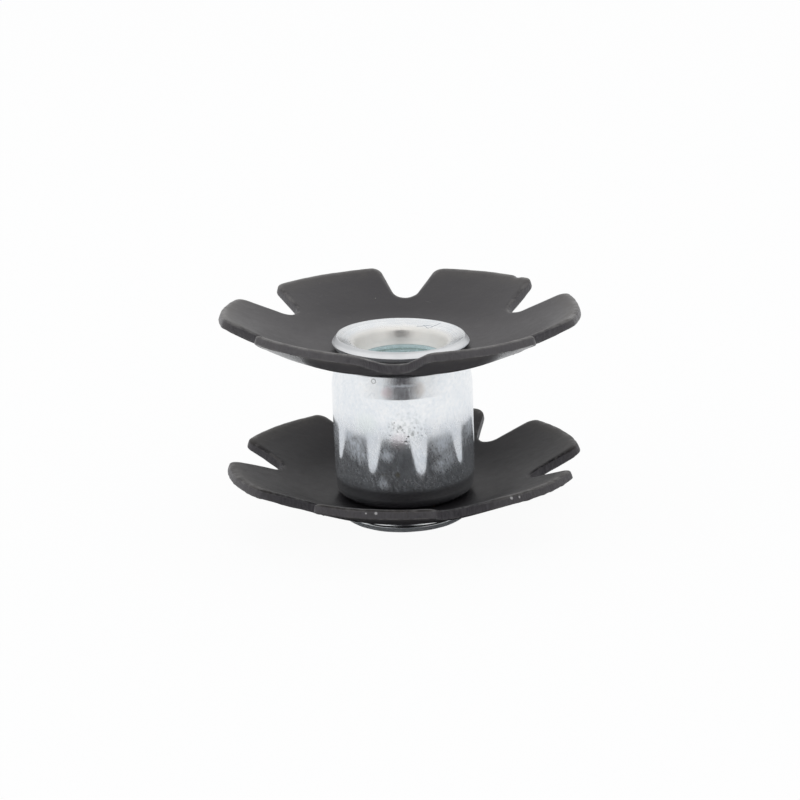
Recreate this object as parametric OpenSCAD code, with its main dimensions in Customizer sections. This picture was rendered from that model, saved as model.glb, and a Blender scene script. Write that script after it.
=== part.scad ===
// Star nut for a bicycle fork steerer. A threaded barrel passes through two
// dished, six-petalled spring-steel washers, and both of its ends are flared
// over them, so the three pieces are fixed together. Driven into the bore of
// the steerer, the petals bite its wall, and the stem's top bolt pulls on the
// thread. Millimetres. Z is the barrel's axis, and the origin is the middle of
// the bottom flare's rim, which the nut stands on.

/* [Barrel] */
// Diameter of the barrel between the washers
barrel_d = 10.1; // [9.4:0.1:12]
// Length of the barrel between the washers
body_len = 10; // [6:0.5:20]
// Diameter of the necks that pass through the washers
neck_d = 8; // [7.4:0.1:8.4]
// Edge radius of the barrel's top shoulder
top_shoulder_r = 0.8; // [0.3:0.05:0.85]
// Edge radius of the barrel's bottom shoulder
bottom_shoulder_r = 0.6; // [0.3:0.05:0.85]

/* [Thread] */
// Diameter of the bore at the crests of the M6 thread
bore_d = 5; // [4.6:0.1:5.1]
// Diameter of the throat, where each flare opens out of the thread
throat_d = 5.5; // [5.3:0.1:5.8]

/* [Flares] */
// Reach of the top flare beyond its neck
top_flare_w = 0.95; // [0.75:0.05:1.2]
// Height of the top rim above the washer's hub
top_flare_h = 0.8; // [0.7:0.05:1.1]
// Reach of the bottom flare beyond its neck
bottom_flare_w = 0.5; // [0.45:0.05:1.2]
// Depth of the bottom rim below the washer's hub
bottom_flare_h = 1; // [0.8:0.05:1.2]
// Height of the upright face round each rim
rim_t = 0.4; // [0.2:0.05:0.5]
// Width of the flat ring on top of each rim
rim_w = 0.35; // [0.2:0.05:0.5]
// Edge radius of each rim
rim_edge_r = 0.12; // [0.05:0.01:0.18]
// Width of the ring that each flare presses on its washer
seat_w = 0.25; // [0.1:0.05:0.35]
// Slope of the inside of each flare
flare_slope = 15; // [5:1:25]
// Radius where the inside of a flare turns down into the throat
throat_round_r = 0.75; // [0.4:0.05:0.9]

/* [Washers] */
// Diameter of each star over its petals
star_d = 25.7; // [24:0.1:30]
// Number of petals on each star
petal_count = 6; // [5:1:7]
// Thickness of the sheet
sheet_t = 0.7; // [0.5:0.05:1]
// Gap between a neck and the hole of its washer
neck_gap = 0.05; // [0.02:0.01:0.1]
// How far the dish starts inside the barrel's side
hub_tuck = 0.15; // [0.05:0.05:0.25]
// Radius of the bend from the hub to the petals, at the middle of the sheet
dish_bend_r = 5.3; // [3:0.1:9]
// Slope of the petals
dish_angle = 24.3; // [10:0.1:32]
// Turn of the upper star about the axis
upper_turn = -2.8; // [-30:0.1:30]
// Turn of the lower star about the axis
lower_turn = 19.3; // [-30:0.1:30]

/* [Notches] */
// Distance from the axis to the bottom of each notch
notch_root = 9.25; // [8.5:0.05:10]
// Radius of the bottom of each notch
notch_root_r = 1.1; // [0.7:0.05:1.3]
// Angle between the sides of each notch
notch_angle = 54; // [40:1:60]
// Corner radius of each petal
petal_corner_r = 0.85; // [0.4:0.05:1.1]

/* [Hidden] */
$fn = 96;

// How far a cutting shape reaches past the solid that it cuts
cut_over = 1;
// How far a round stands proud of the sides that it blends, so that they cross
round_over = 0.005;

// Heights, from the bottom rim up
lower_hub_z = bottom_flare_h;
body_z = lower_hub_z + sheet_t;
upper_hub_z = body_z + body_len;
top_seat_z = upper_hub_z + sheet_t;
top_z = top_seat_z + top_flare_h;

// Radii of the barrel
barrel_r = barrel_d / 2;
neck_r = neck_d / 2;
throat_r = throat_d / 2;

// Radii of the washers
hole_r = neck_r + neck_gap;
hub_r = barrel_r - hub_tuck;
tip_r = star_d / 2;

// Middle of a notch's bottom round, and of the petal corner beside it, both
// seen along the notch: u runs out from the axis and v runs across
notch_half = notch_angle / 2;
root_u = notch_root + notch_root_r;
rounds_r = notch_root_r + petal_corner_r - 2 * round_over;
side_len = sqrt(pow(root_u * cos(notch_half), 2) - pow(root_u, 2) - pow(rounds_r, 2)
    + 2 * root_u * rounds_r * sin(notch_half) + pow(tip_r - petal_corner_r + round_over, 2))
    - root_u * cos(notch_half);
corner_u = root_u - rounds_r * sin(notch_half) + side_len * cos(notch_half);
corner_v = rounds_r * cos(notch_half) + side_len * sin(notch_half);

// The sliver outside a quarter round of radius r that is centred on the origin
module edge_round(r) {
    difference() {
        square(r + cut_over);
        circle(r);
    }
}

// Half section of the barrel between the washers, with its two round shoulders
module body_section() {
    difference() {
        translate([0, body_z]) square([barrel_r, body_len]);
        translate([barrel_r - top_shoulder_r, upper_hub_z - top_shoulder_r])
            edge_round(top_shoulder_r);
        translate([barrel_r - bottom_shoulder_r, body_z + bottom_shoulder_r])
            mirror([0, 1]) edge_round(bottom_shoulder_r);
    }
}

// Half section of one flare and its neck, rising from y = 0 at the shoulder:
// the neck, the seat on the washer, the underside, and the rim
module flare_section(flare_w, flare_h) {
    rim_r = neck_r + flare_w;
    rim_y = sheet_t + flare_h;
    difference() {
        union() {
            square([neck_r, rim_y]);
            polygon([
                [0, sheet_t],
                [neck_r + seat_w, sheet_t],
                [rim_r, rim_y - rim_t],
                [rim_r, rim_y],
                [0, rim_y],
            ]);
        }
        translate([rim_r - rim_edge_r, rim_y - rim_edge_r]) edge_round(rim_edge_r);
    }
}

// Half section of the hollow inside one flare, falling from y = 0 at the rim:
// a shallow cone that rounds over into the throat
module trumpet_section(flare_w) {
    mouth_r = neck_r + flare_w - rim_w;
    round_x = throat_r + throat_round_r;
    tangent_x = round_x - throat_round_r * sin(flare_slope);
    tangent_y = -(mouth_r - tangent_x) * tan(flare_slope);
    round_y = tangent_y - throat_round_r * cos(flare_slope);
    difference() {
        polygon([
            [0, cut_over],
            [mouth_r, cut_over],
            [mouth_r, 0],
            [tangent_x, tangent_y],
            [round_x, round_y],
            [throat_r, round_y],
            [bore_d / 2, round_y - (throat_r - bore_d / 2)],
            [0, round_y - (throat_r - bore_d / 2)],
        ]);
        translate([round_x, round_y]) circle(throat_round_r);
    }
}

module threaded_barrel() {
    color("#c8cdd2") rotate_extrude() difference() {
        union() {
            body_section();
            translate([0, upper_hub_z]) flare_section(top_flare_w, top_flare_h);
            translate([0, body_z]) mirror([0, 1]) flare_section(bottom_flare_w, bottom_flare_h);
        }
        translate([0, -cut_over]) square([bore_d / 2, top_z + 2 * cut_over]);
        translate([0, top_z]) trumpet_section(top_flare_w);
        mirror([0, 1]) trumpet_section(bottom_flare_w);
    }
}

// Half section of all that lies above one face of the dished sheet: the face
// is flat at height y over the hub, bends up with radius bend_r, and climbs
module above_face(y, bend_r, start_r) {
    corner_r = hub_r + bend_r * tan(dish_angle / 2);
    end_r = tip_r + cut_over;
    end_y = y + (end_r - corner_r) * tan(dish_angle);
    difference() {
        polygon([[start_r, y], [corner_r, y], [end_r, end_y], [end_r, tip_r], [start_r, tip_r]]);
        translate([hub_r, y + bend_r]) difference() {
            polygon([
                [0, 0],
                [0, -2 * bend_r],
                [2 * bend_r * sin(dish_angle), -2 * bend_r * cos(dish_angle)],
            ]);
            circle(bend_r + round_over);
        }
    }
}

// Half section of the dished sheet, with the underside of its hub at y = 0
module sheet_section() {
    difference() {
        above_face(0, dish_bend_r + sheet_t / 2, hole_r);
        above_face(sheet_t, dish_bend_r - sheet_t / 2, 0);
    }
}

// Outline of one notch along +X, with the two petal corners beside it
module notch_outline() {
    far_u = tip_r + cut_over;
    side_r = notch_root_r - round_over;
    side_u = root_u - side_r * sin(notch_half);
    side_v = side_r * cos(notch_half);
    far_v = side_v + (far_u - side_u) * tan(notch_half);
    translate([root_u, 0]) circle(notch_root_r);
    polygon([[side_u, side_v], [far_u, far_v], [far_u, -far_v], [side_u, -side_v]]);
    for (side = [0, 1]) mirror([0, side]) corner_outline();
}

// What a petal's round corner leaves over, beside a notch along +X
module corner_outline() {
    corner_turn = atan2(corner_v, corner_u);
    far_r = tip_r + cut_over;
    difference() {
        polygon([
            [corner_u, corner_v],
            [corner_u + 2 * petal_corner_r * sin(notch_half),
             corner_v - 2 * petal_corner_r * cos(notch_half)],
            [far_r, 0],
            [far_r * cos(corner_turn), far_r * sin(corner_turn)],
        ]);
        translate([corner_u, corner_v]) circle(petal_corner_r);
    }
}

// Outline of the star, seen from above
module star_outline() {
    pitch = 360 / petal_count;
    difference() {
        circle(tip_r);
        for (i = [0 : petal_count - 1]) rotate((i + 0.5) * pitch) notch_outline();
    }
}

// One star washer, with the underside of its hub at hub_z
module star_washer(hub_z, turn) {
    translate([0, 0, hub_z]) rotate(turn) intersection() {
        rotate_extrude() sheet_section();
        translate([0, 0, -cut_over]) linear_extrude(tip_r + 2 * cut_over) star_outline();
    }
}

module upper_star_washer() {
    color("#535155") star_washer(upper_hub_z, upper_turn);
}

module lower_star_washer() {
    color("#3f3d40") star_washer(lower_hub_z, lower_turn);
}

threaded_barrel();
upper_star_washer();
lower_star_washer();
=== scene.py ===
"""Looks of a star nut for a bicycle fork steerer.

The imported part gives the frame: a threaded barrel that stands on its bottom
flare, with a dished star washer held by each flare. The classes below rebuild
each piece in fine detail in that frame, give it its finish, and set up a plain
pale studio around it. The nut's sizes are written in millimetres and turned
into metres by MM.
"""

import logging
import math
from dataclasses import dataclass
from enum import Enum
from functools import reduce

import bmesh
import bpy
import numpy as np
from mathutils import Matrix, Vector


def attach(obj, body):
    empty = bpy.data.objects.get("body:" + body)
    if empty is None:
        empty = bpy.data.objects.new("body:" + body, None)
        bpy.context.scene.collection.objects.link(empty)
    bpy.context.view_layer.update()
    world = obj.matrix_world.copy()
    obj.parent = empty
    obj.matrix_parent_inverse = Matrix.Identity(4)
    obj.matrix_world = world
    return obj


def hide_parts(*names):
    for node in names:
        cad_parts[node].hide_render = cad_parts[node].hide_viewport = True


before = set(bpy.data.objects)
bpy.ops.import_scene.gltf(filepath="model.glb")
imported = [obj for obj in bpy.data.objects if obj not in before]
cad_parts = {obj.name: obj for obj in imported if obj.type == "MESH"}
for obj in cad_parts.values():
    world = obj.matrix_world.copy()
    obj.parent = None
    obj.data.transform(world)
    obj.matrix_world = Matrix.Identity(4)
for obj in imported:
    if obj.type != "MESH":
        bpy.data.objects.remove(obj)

log = logging.getLogger("star_nut")

MM = 0.001
BODY = "root"
Socket = bpy.types.NodeSocket
Colour = tuple[float, float, float]
Place = tuple[float, float, float]
Spot = tuple[float, float, float, float]
Band = tuple[float, float]
Layer = tuple[np.ndarray, np.ndarray, float, float]


class Slot(Enum):
    """Material slots of the part's record."""

    ZINC = "zinc_plate"
    STEEL = "black_spring_steel"


# ------------------------------------------------------------------ node trees


class NodeBench:
    """Adds, sets and links the nodes of one tree."""

    def __init__(self, tree: bpy.types.NodeTree) -> None:
        """Starts work on a tree."""
        self.tree = tree

    def node(self, kind: str, **settings: object) -> bpy.types.Node:
        """Adds a node and sets its properties.

        Args:
            kind: The node's type.
            settings: A value for each property.

        Returns:
            The node.
        """
        node = self.tree.nodes.new(kind)
        for key, value in settings.items():
            setattr(node, key, value)
        return node

    def join(self, source: object, target: Socket) -> None:
        """Links a socket to a target, or writes a plain value into it.

        Args:
            source: A socket or a plain value.
            target: The input socket that takes it.
        """
        if isinstance(source, Socket):
            self.tree.links.new(source, target)
        else:
            target.default_value = source

    def wire(self, node: bpy.types.Node, **values: object) -> bpy.types.Node:
        """Fills a node's named inputs, where _ stands for a space.

        Args:
            node: The node to fill.
            values: A socket or a plain value for each input.

        Returns:
            The same node.
        """
        for name, value in values.items():
            self.join(value, node.inputs[name.replace("_", " ")])
        return node

    def fill(self, node: bpy.types.Node, *values: object) -> bpy.types.Node:
        """Fills a node's first inputs in order.

        Args:
            node: The node to fill.
            values: A socket or a plain value for each input.

        Returns:
            The same node.
        """
        for value, socket in zip(values, node.inputs):
            self.join(value, socket)
        return node

    def math(self, operation: str, *values: object) -> Socket:
        """Adds a Math node with a value for each of its inputs."""
        return self.fill(self.node("ShaderNodeMath", operation=operation), *values).outputs[0]

    def chain(self, operation: str, values: tuple[object, ...]) -> Socket:
        """Joins two or more values by the same operation, one after the other."""
        return reduce(lambda total, value: self.math(operation, total, value), values)

    def times(self, *values: object) -> Socket:
        """Multiplies values."""
        return self.chain("MULTIPLY", values)

    def plus(self, *values: object) -> Socket:
        """Adds values."""
        return self.chain("ADD", values)

    def minus(self, value: object, less: object) -> Socket:
        """Takes one value from another."""
        return self.math("SUBTRACT", value, less)

    def over(self, value: object, divisor: object) -> Socket:
        """Divides one value by another."""
        return self.math("DIVIDE", value, divisor)

    def most(self, *values: object) -> Socket:
        """Gives the largest of some values."""
        return self.chain("MAXIMUM", values)

    def least(self, *values: object) -> Socket:
        """Gives the smallest of some values."""
        return self.chain("MINIMUM", values)

    def vector_math(self, operation: str, *values: object) -> Socket:
        """Adds a Vector Math node and returns the output that it fills.

        Args:
            operation: Name of the operation, such as "DISTANCE".
            values: A socket or a vector for each input.

        Returns:
            The vector, or the number of an operation that gives one.
        """
        node = self.fill(self.node("ShaderNodeVectorMath", operation=operation), *values)
        single = operation in ("LENGTH", "DISTANCE", "DOT_PRODUCT")
        return node.outputs["Value" if single else "Vector"]

    def split(self, vector: Socket) -> tuple[Socket, Socket, Socket]:
        """Takes a vector apart into its three numbers."""
        return tuple(self.fill(self.node("ShaderNodeSeparateXYZ"), vector).outputs)

    def combine(self, x: object, y: object, z: object) -> Socket:
        """Puts three numbers together into a vector."""
        return self.fill(self.node("ShaderNodeCombineXYZ"), x, y, z).outputs[0]

    def off_axis(self, vector: Socket) -> Socket:
        """Distance of a place from the Z axis."""
        x, y, _ = self.split(vector)
        return self.math("SQRT", self.plus(self.times(x, x), self.times(y, y)))

    def off_middle(self, vector: Socket) -> Socket:
        """Distance of a place to either side of the middle plane."""
        return self.math("ABSOLUTE", self.split(vector)[0])

    def remap(self, value: object, low: object, high: object, to_low: object = 0.0,
              to_high: object = 1.0, smooth: bool = False) -> Socket:
        """Maps a range of a value onto another range, and holds it there.

        Args:
            value: The number to map.
            low: Value that gives to_low.
            high: Value that gives to_high.
            to_low: First end of the result.
            to_high: Second end of the result.
            smooth: True for an eased change between the two ends.

        Returns:
            The mapped number.
        """
        kind = "SMOOTHSTEP" if smooth else "LINEAR"
        node = self.node("ShaderNodeMapRange", interpolation_type=kind)
        self.wire(node, Value=value, From_Min=low, From_Max=high, To_Min=to_low, To_Max=to_high)
        return node.outputs["Result"]

    def noise(self, vector: object, scale: object, detail: float = 2.0,
              roughness: float = 0.5, distortion: float = 0.0) -> Socket:
        """Adds a noise texture and returns its value.

        Args:
            vector: Coordinates of the noise.
            scale: How many lumps there are to a unit of the coordinates.
            detail: How many finer layers it has.
            roughness: Strength of the finer layers.
            distortion: How much the lumps are bent.

        Returns:
            The noise, about 0.5 on average.
        """
        node = self.node("ShaderNodeTexNoise", noise_dimensions="3D")
        self.wire(node, Vector=vector, Scale=scale, Detail=detail, Roughness=roughness,
                  Distortion=distortion)
        return node.outputs[0]

    def tint(self, share: object, low: object, high: object) -> Socket:
        """Mixes two colours by a share.

        Args:
            share: 0 for the first colour and 1 for the second.
            low: First colour, as a socket or three numbers.
            high: Second colour, as a socket or three numbers.

        Returns:
            The mixed colour.
        """
        node = self.node("ShaderNodeMix", data_type="RGBA")
        self.join(share, node.inputs[0])
        for colour, socket in ((low, node.inputs[6]), (high, node.inputs[7])):
            self.join(colour if isinstance(colour, Socket) else (*colour, 1.0), socket)
        return node.outputs[2]

    def blend(self, share: object, low: object, high: object) -> Socket:
        """Mixes two numbers by a share.

        Args:
            share: 0 for the first number and 1 for the second.
            low: First number.
            high: Second number.

        Returns:
            The mixed number.
        """
        node = self.node("ShaderNodeMix", data_type="FLOAT")
        for value, socket in ((share, node.inputs[0]), (low, node.inputs[2]),
                              (high, node.inputs[3])):
            self.join(value, socket)
        return node.outputs[0]

    def warp(self, vector: Socket, size: float, amount: float) -> Socket:
        """Shakes coordinates by noise of a size, so that edges turn ragged.

        Args:
            vector: The coordinates.
            size: Size of the lumps, in the unit of the coordinates.
            amount: How far the coordinates are shaken, in the same unit.

        Returns:
            The shaken coordinates.
        """
        shake = self.wire(self.node("ShaderNodeTexNoise", noise_dimensions="3D"),
                          Vector=vector, Scale=1.0 / size)
        centred = self.vector_math("SUBTRACT", shake.outputs["Color"], (0.5, 0.5, 0.5))
        scaled = self.vector_math("MULTIPLY", centred, (amount, amount, amount))
        return self.vector_math("ADD", vector, scaled)

    def end_in_mix(self, end: str, share: Socket, below: Socket, above: Socket) -> None:
        """Ends the tree, at its named output node, in a mix of two shaders.

        Args:
            end: Name of the output node.
            share: 0 for the shader below and 1 for the one above.
            below: First shader.
            above: Second shader.
        """
        mix = self.fill(self.node("ShaderNodeMixShader"), share, below, above)
        self.wire(self.tree.nodes[end], Surface=mix.outputs[0])


class NodeGroup(NodeBench):
    """A node group with named inputs and outputs."""

    def __init__(self, name: str, kind: str) -> None:
        """Starts an empty group of a kind, such as "ShaderNodeTree".

        Args:
            name: Name of the group.
            kind: Type of its tree.
        """
        super().__init__(bpy.data.node_groups.new(name, kind))
        self.keys: dict[str, str] = {}
        self.entry = self.node("NodeGroupInput")
        self.exit = self.node("NodeGroupOutput")

    def add_input(self, name: str, kind: str, value: object = None) -> None:
        """Adds a named input of a socket type, with a default value or None.

        Args:
            name: Name of the input.
            kind: Type of its socket.
            value: Default value, or None for a type without one.
        """
        socket = self.tree.interface.new_socket(name, in_out="INPUT", socket_type=kind)
        if value is not None:
            socket.default_value = value
        self.keys[name] = socket.identifier

    def given(self, name: str) -> Socket:
        """The socket inside the group that carries a named input."""
        return next(s for s in self.entry.outputs if s.identifier == self.keys[name])

    def give(self, name: str, kind: str, source: Socket) -> None:
        """Adds a named output and feeds it.

        Args:
            name: Name of the output.
            kind: Type of its socket.
            source: The socket that feeds it.
        """
        self.tree.interface.new_socket(name, in_out="OUTPUT", socket_type=kind)
        self.join(source, self.exit.inputs[name])


class PressTree(NodeGroup):
    """A geometry tree that is used as a modifier and leaves a plain mesh."""

    def __init__(self, name: str, numbers: tuple[str, ...]) -> None:
        """Starts a tree with a geometry, a material and named numbers as inputs.

        Args:
            name: Name of the tree.
            numbers: Name of each number that the tree takes.
        """
        super().__init__(name, "GeometryNodeTree")
        self.add_input("Geometry", "NodeSocketGeometry")
        self.add_input("Material", "NodeSocketMaterial")
        for number in numbers:
            self.add_input(number, "NodeSocketFloat", 0.0)

    def finish(self, geometry: Socket) -> None:
        """Ends the tree in Realize Instances and Set Material.

        Args:
            geometry: The finished shape.
        """
        realize = self.wire(self.node("GeometryNodeRealizeInstances"), Geometry=geometry)
        dress = self.wire(self.node("GeometryNodeSetMaterial"),
                          Geometry=realize.outputs["Geometry"], Material=self.given("Material"))
        self.give("Geometry", "NodeSocketGeometry", dress.outputs["Geometry"])

    def shape(self, piece: bpy.types.Object, values: dict[str, object]) -> bpy.types.Object:
        """Shapes a piece with the tree and leaves it as a plain mesh.

        Args:
            piece: The object to shape.
            values: A value for each named input.

        Returns:
            The same object, with its new mesh and no modifiers.
        """
        modifier = piece.modifiers.new(self.tree.name, "NODES")
        modifier.node_group = self.tree
        for name, value in values.items():
            modifier[self.keys[name]] = value
        bpy.context.view_layer.update()
        evaluated = piece.evaluated_get(bpy.context.evaluated_depsgraph_get())
        mesh = bpy.data.meshes.new_from_object(evaluated)
        piece.modifiers.clear()
        piece.data = mesh
        mesh.name = piece.name
        mesh.polygons.foreach_set("use_smooth", [True] * len(mesh.polygons))
        return piece


def build_dish_tree() -> PressTree:
    """Builds the tree that presses a flat star blank into a dished washer.

    A point of the blank lies at a distance r from the axis and at a height h
    above the middle of the sheet. The press keeps r for the middle of the
    sheet, raises it by the dish, and leans h with the sheet. Each petal adds
    its own small lift, which the blank carries as an attribute.

    Returns:
        The tree, with inputs for the dish's sizes.
    """
    numbers = ("Hub Radius", "Bend Radius", "Slope", "Hub Height", "Lean X", "Lean Y",
               "Lean Fade", "Sheet Wave", "Wave Length")
    t = PressTree("press_star_washer", numbers)
    hub, bend, slope, hub_z, lean_x, lean_y, lean_fade, wave, wave_length = (
        t.given(number) for number in numbers)
    position = t.node("GeometryNodeInputPosition").outputs[0]
    x, y, h = t.split(position)
    r = t.off_axis(position)
    past_hub = t.most(t.minus(r, hub), 0.0)
    turned = t.math("ARCSINE", t.least(t.over(past_hub, bend), 0.999))
    lean = t.least(turned, slope)
    bend_end = t.plus(hub, t.times(bend, t.math("SINE", slope)))
    past_bend = t.most(t.minus(r, bend_end), 0.0)
    round_rise = t.times(bend, t.minus(1.0, t.math("COSINE", lean)))
    rise = t.plus(round_rise, t.times(past_bend, t.math("TANGENT", slope)))
    share = t.over(t.minus(r, t.times(h, t.math("SINE", lean))), r)
    fade = t.least(t.over(past_hub, lean_fade), 1.0)
    tip_over = t.plus(t.times(x, lean_x), t.times(y, lean_y))
    ripple = t.noise(t.combine(x, y, hub_z), t.over(1.0, wave_length))
    askew = t.times(fade, t.plus(tip_over, t.times(t.minus(ripple, 0.5), wave)))
    lift = t.wire(t.node("GeometryNodeInputNamedAttribute", data_type="FLOAT"), Name="lift")
    z = t.plus(hub_z, rise, t.times(h, t.math("COSINE", lean)),
               t.plus(askew, lift.outputs["Attribute"]))
    place = t.wire(t.node("GeometryNodeSetPosition"), Geometry=t.given("Geometry"),
                   Position=t.combine(t.times(x, share), t.times(y, share), z))
    t.finish(place.outputs[0])
    return t


def build_thread_tree() -> PressTree:
    """Builds the tree that winds a thread's ridge round the Z axis.

    A trapezoid is swept along a spiral. It shrinks to nothing over the last
    part of a turn at both ends, where the thread runs out.

    Returns:
        The tree, with inputs for the thread's sizes.
    """
    numbers = ("Root Radius", "Pitch", "Turns", "Start Height", "Ridge Height", "Root Width",
               "Crest Width", "Runout Turns")
    t = PressTree("wind_bore_thread", numbers)
    t.add_input("Steps Per Turn", "NodeSocketInt", 96)
    root, pitch, turns, start, ridge, root_width, crest_width, runout = (
        t.given(number) for number in numbers)
    spiral = t.wire(t.node("GeometryNodeCurveSpiral"), Resolution=t.given("Steps Per Turn"),
                    Rotations=turns, Start_Radius=root, End_Radius=root,
                    Height=t.times(pitch, turns))
    upright = t.wire(t.node("GeometryNodeSetCurveNormal", mode="Z_UP"), Curve=spiral.outputs[0])
    along = t.node("GeometryNodeSplineParameter").outputs["Factor"]
    from_end = t.least(along, t.minus(1.0, along))
    ramp = t.over(t.times(from_end, turns), runout)
    section = t.wire(t.node("GeometryNodeCurvePrimitiveQuadrilateral", mode="TRAPEZOID"),
                     Bottom_Width=root_width, Top_Width=crest_width, Height=ridge, Offset=0.0)
    inward = t.wire(t.node("GeometryNodeTransform"), Geometry=section.outputs[0],
                    Translation=t.combine(0.0, t.times(ridge, 0.5), 0.0))
    turned = t.wire(t.node("GeometryNodeTransform"), Geometry=inward.outputs[0],
                    Rotation=(0.0, 0.0, math.radians(270.0)))
    sweep = t.wire(t.node("GeometryNodeCurveToMesh"), Curve=upright.outputs[0],
                   Profile_Curve=turned.outputs[0], Scale=t.most(t.least(ramp, 1.0), 0.02),
                   Fill_Caps=True)
    raised = t.wire(t.node("GeometryNodeTransform"), Geometry=sweep.outputs[0],
                    Translation=t.combine(0.0, 0.0, start))
    t.finish(raised.outputs[0])
    return t


# ---------------------------------------------------------------- shader groups


class GroupShelf:
    """Node groups that several finishes use, each built once."""

    def __init__(self) -> None:
        """Builds every group."""
        self.mottling = self._mottling()
        self.rubbed_edge = self._rubbed_edge()
        self.specks = self._specks()
        self.hairlines = self._hairlines()
        self.grain = self._grain()

    @staticmethod
    def _start(name: str, **defaults: float) -> tuple[NodeGroup, list[Socket]]:
        """Starts a group.

        Args:
            name: Name of the group.
            defaults: Each number that the group takes; _ stands for a space.

        Returns:
            The group, and the sockets inside it for its vector and its numbers.
        """
        g = NodeGroup(name, "ShaderNodeTree")
        g.add_input("Vector", "NodeSocketVector")
        for key, value in defaults.items():
            g.add_input(key.replace("_", " "), "NodeSocketFloat", value)
        return g, [g.given(key) for key in g.keys]

    @staticmethod
    def _end(g: NodeGroup, name: str, value: Socket) -> bpy.types.NodeTree:
        """Ends a group in its one named number."""
        g.give(name, "NodeSocketFloat", value)
        return g.tree

    def _mottling(self) -> bpy.types.NodeTree:
        """Soft clouds of one size, stretched along Z.

        Returns:
            The group's tree.
        """
        g, (vector, size, stretch, contrast) = self._start(
            "cloudy_mottling", Cloud_Size=2.0, Stretch=1.0, Contrast=1.5)
        x, y, z = g.split(vector)
        stretched = g.combine(x, y, g.over(z, stretch))
        clouds = g.noise(stretched, g.over(1.0, size), 4.0, 0.6, 0.3)
        shade = g.plus(g.times(g.minus(clouds, 0.5), contrast), 0.5)
        return self._end(g, "Shade", g.least(g.most(shade, 0.0), 1.0))

    def _rubbed_edge(self) -> bpy.types.NodeTree:
        """An edge mask that is broken up as if it were rubbed unevenly.

        Returns:
            The group's tree.
        """
        g, (vector, edge, patch, wear) = self._start(
            "rubbed_edge", Edge=0.0, Patch_Size=1.5, Wear=0.5)
        rough = g.noise(vector, g.over(1.0, patch), 5.0, 0.7)
        low = g.minus(0.72, g.times(wear, 0.45))
        broken = g.remap(rough, low, g.plus(low, 0.16), smooth=True)
        return self._end(g, "Mask", g.times(broken, edge))

    def _specks(self) -> bpy.types.NodeTree:
        """Small ragged specks, one in some of the cells of a jittered grid.

        Returns:
            The group's tree.
        """
        g, (vector, spacing, speck, share) = self._start(
            "scattered_specks", Spacing=1.0, Speck_Size=0.05, Share=0.2)
        cells = g.wire(g.node("ShaderNodeTexVoronoi", voronoi_dimensions="3D"),
                       Vector=g.warp(vector, 0.12, 0.05), Scale=g.over(1.0, spacing))
        pick, size, _ = g.split(cells.outputs["Color"])
        far = g.times(cells.outputs["Distance"], spacing)
        reach = g.times(speck, g.plus(0.4, size))
        spot = g.remap(far, reach, g.times(reach, 0.5))
        return self._end(g, "Mask", g.times(spot, g.math("LESS_THAN", pick, share)))

    def _hairlines(self) -> bpy.types.NodeTree:
        """Thin short scratches that run nearly one way, with a turn as input.

        Returns:
            The group's tree.
        """
        g, (vector, angle, length, width, share) = self._start(
            "hairline_scratches", Turn=0.0, Length=1.5, Width=0.03, Share=0.3)
        turn = g.wire(g.node("ShaderNodeVectorRotate", rotation_type="Z_AXIS"),
                      Vector=g.warp(vector, 2.5, 0.5), Angle=angle)
        x, y, z = g.split(turn.outputs[0])
        cell_place = g.combine(g.over(x, length), g.over(y, g.times(width, 10.0)),
                               g.over(z, length))
        cells = g.wire(g.node("ShaderNodeTexVoronoi", voronoi_dimensions="3D"),
                       Vector=cell_place, Scale=1.0)
        pick, _, _ = g.split(cells.outputs["Color"])
        line = g.remap(cells.outputs["Distance"], 0.16, 0.05)
        return self._end(g, "Mask", g.times(line, g.math("LESS_THAN", pick, share)))

    def _grain(self) -> bpy.types.NodeTree:
        """Fine grain, as a height."""
        g, (vector, size) = self._start("fine_grain", Grain_Size=0.1)
        return self._end(g, "Height", g.noise(vector, g.over(1.0, size), 3.0, 0.6))


# --------------------------------------------------------------------- finishes


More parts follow.
